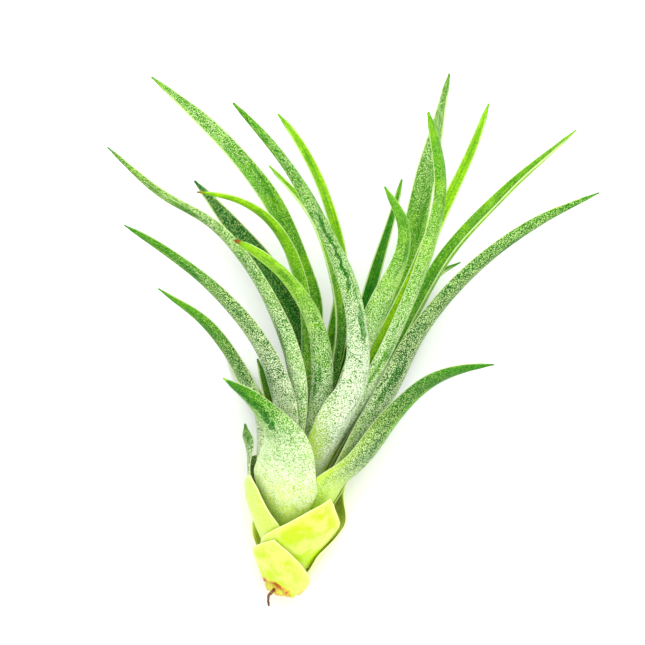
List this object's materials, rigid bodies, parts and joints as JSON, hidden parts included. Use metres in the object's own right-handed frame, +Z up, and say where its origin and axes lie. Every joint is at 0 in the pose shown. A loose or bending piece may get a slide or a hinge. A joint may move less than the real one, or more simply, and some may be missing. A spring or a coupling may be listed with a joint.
{
  "type": "victoriana tillandsia air plant",
  "caption": "Air plant lying on its side as picked: a bulb of clasping leaf bases with long channelled silvery leaves arching away, yellow bracts round its foot and a short dry root.",
  "frame": {"origin": "on the surface that the plant lies on, below the middle of its outline seen from above", "axes": "+Y from the root end to the leaf tips, along the plant's longest side; +X to the right when the plant is seen from above with its tips away from the viewer; +Z up, away from the surface it lies on, and its shortest side"},
  "size_m": [0.1226, 0.1344, 0.0815],
  "materials": {
    "dark_leaf": "dark green leaf in the shade of the others",
    "green_leaf": "fresh green leaf with a satin upper face",
    "silver_leaf": "dull silvery green leaf dusted with fine pale scales",
    "bright_leaf": "bright yellow-green leaf",
    "pale_bract": "pale yellow-green bract with a papery margin",
    "yellow_bract": "bright lime-yellow bract, smooth and satin",
    "stem_wood": "pale brown woody stem with a dry broken end",
    "root_wood": "dark brown wiry dry root"
  },
  "bodies": {
    "root": {"leaf_01": "dark_leaf", "leaf_02": "green_leaf", "leaf_03": "silver_leaf", "leaf_04": "bright_leaf", "leaf_05": "bright_leaf", "leaf_06": "bright_leaf", "leaf_07": "silver_leaf", "leaf_08": "green_leaf", "leaf_09": "green_leaf", "leaf_10": "silver_leaf", "leaf_11": "bright_leaf", "leaf_12": "silver_leaf", "leaf_13": "dark_leaf", "leaf_14": "green_leaf", "leaf_15": "silver_leaf", "leaf_16": "green_leaf", "leaf_17": "silver_leaf", "leaf_18": "dark_leaf", "leaf_19": "silver_leaf", "leaf_20": "green_leaf", "leaf_21": "silver_leaf", "leaf_22": "silver_leaf", "leaf_23": "green_leaf", "leaf_24": "green_leaf", "leaf_25": "silver_leaf", "leaf_26": "pale_bract", "bract_1": "pale_bract", "bract_2": "pale_bract", "bract_3": "yellow_bract", "bract_4": "yellow_bract", "bract_5": "yellow_bract", "stem": "stem_wood", "dry_root": "root_wood"}
  },
  "joints": []
}
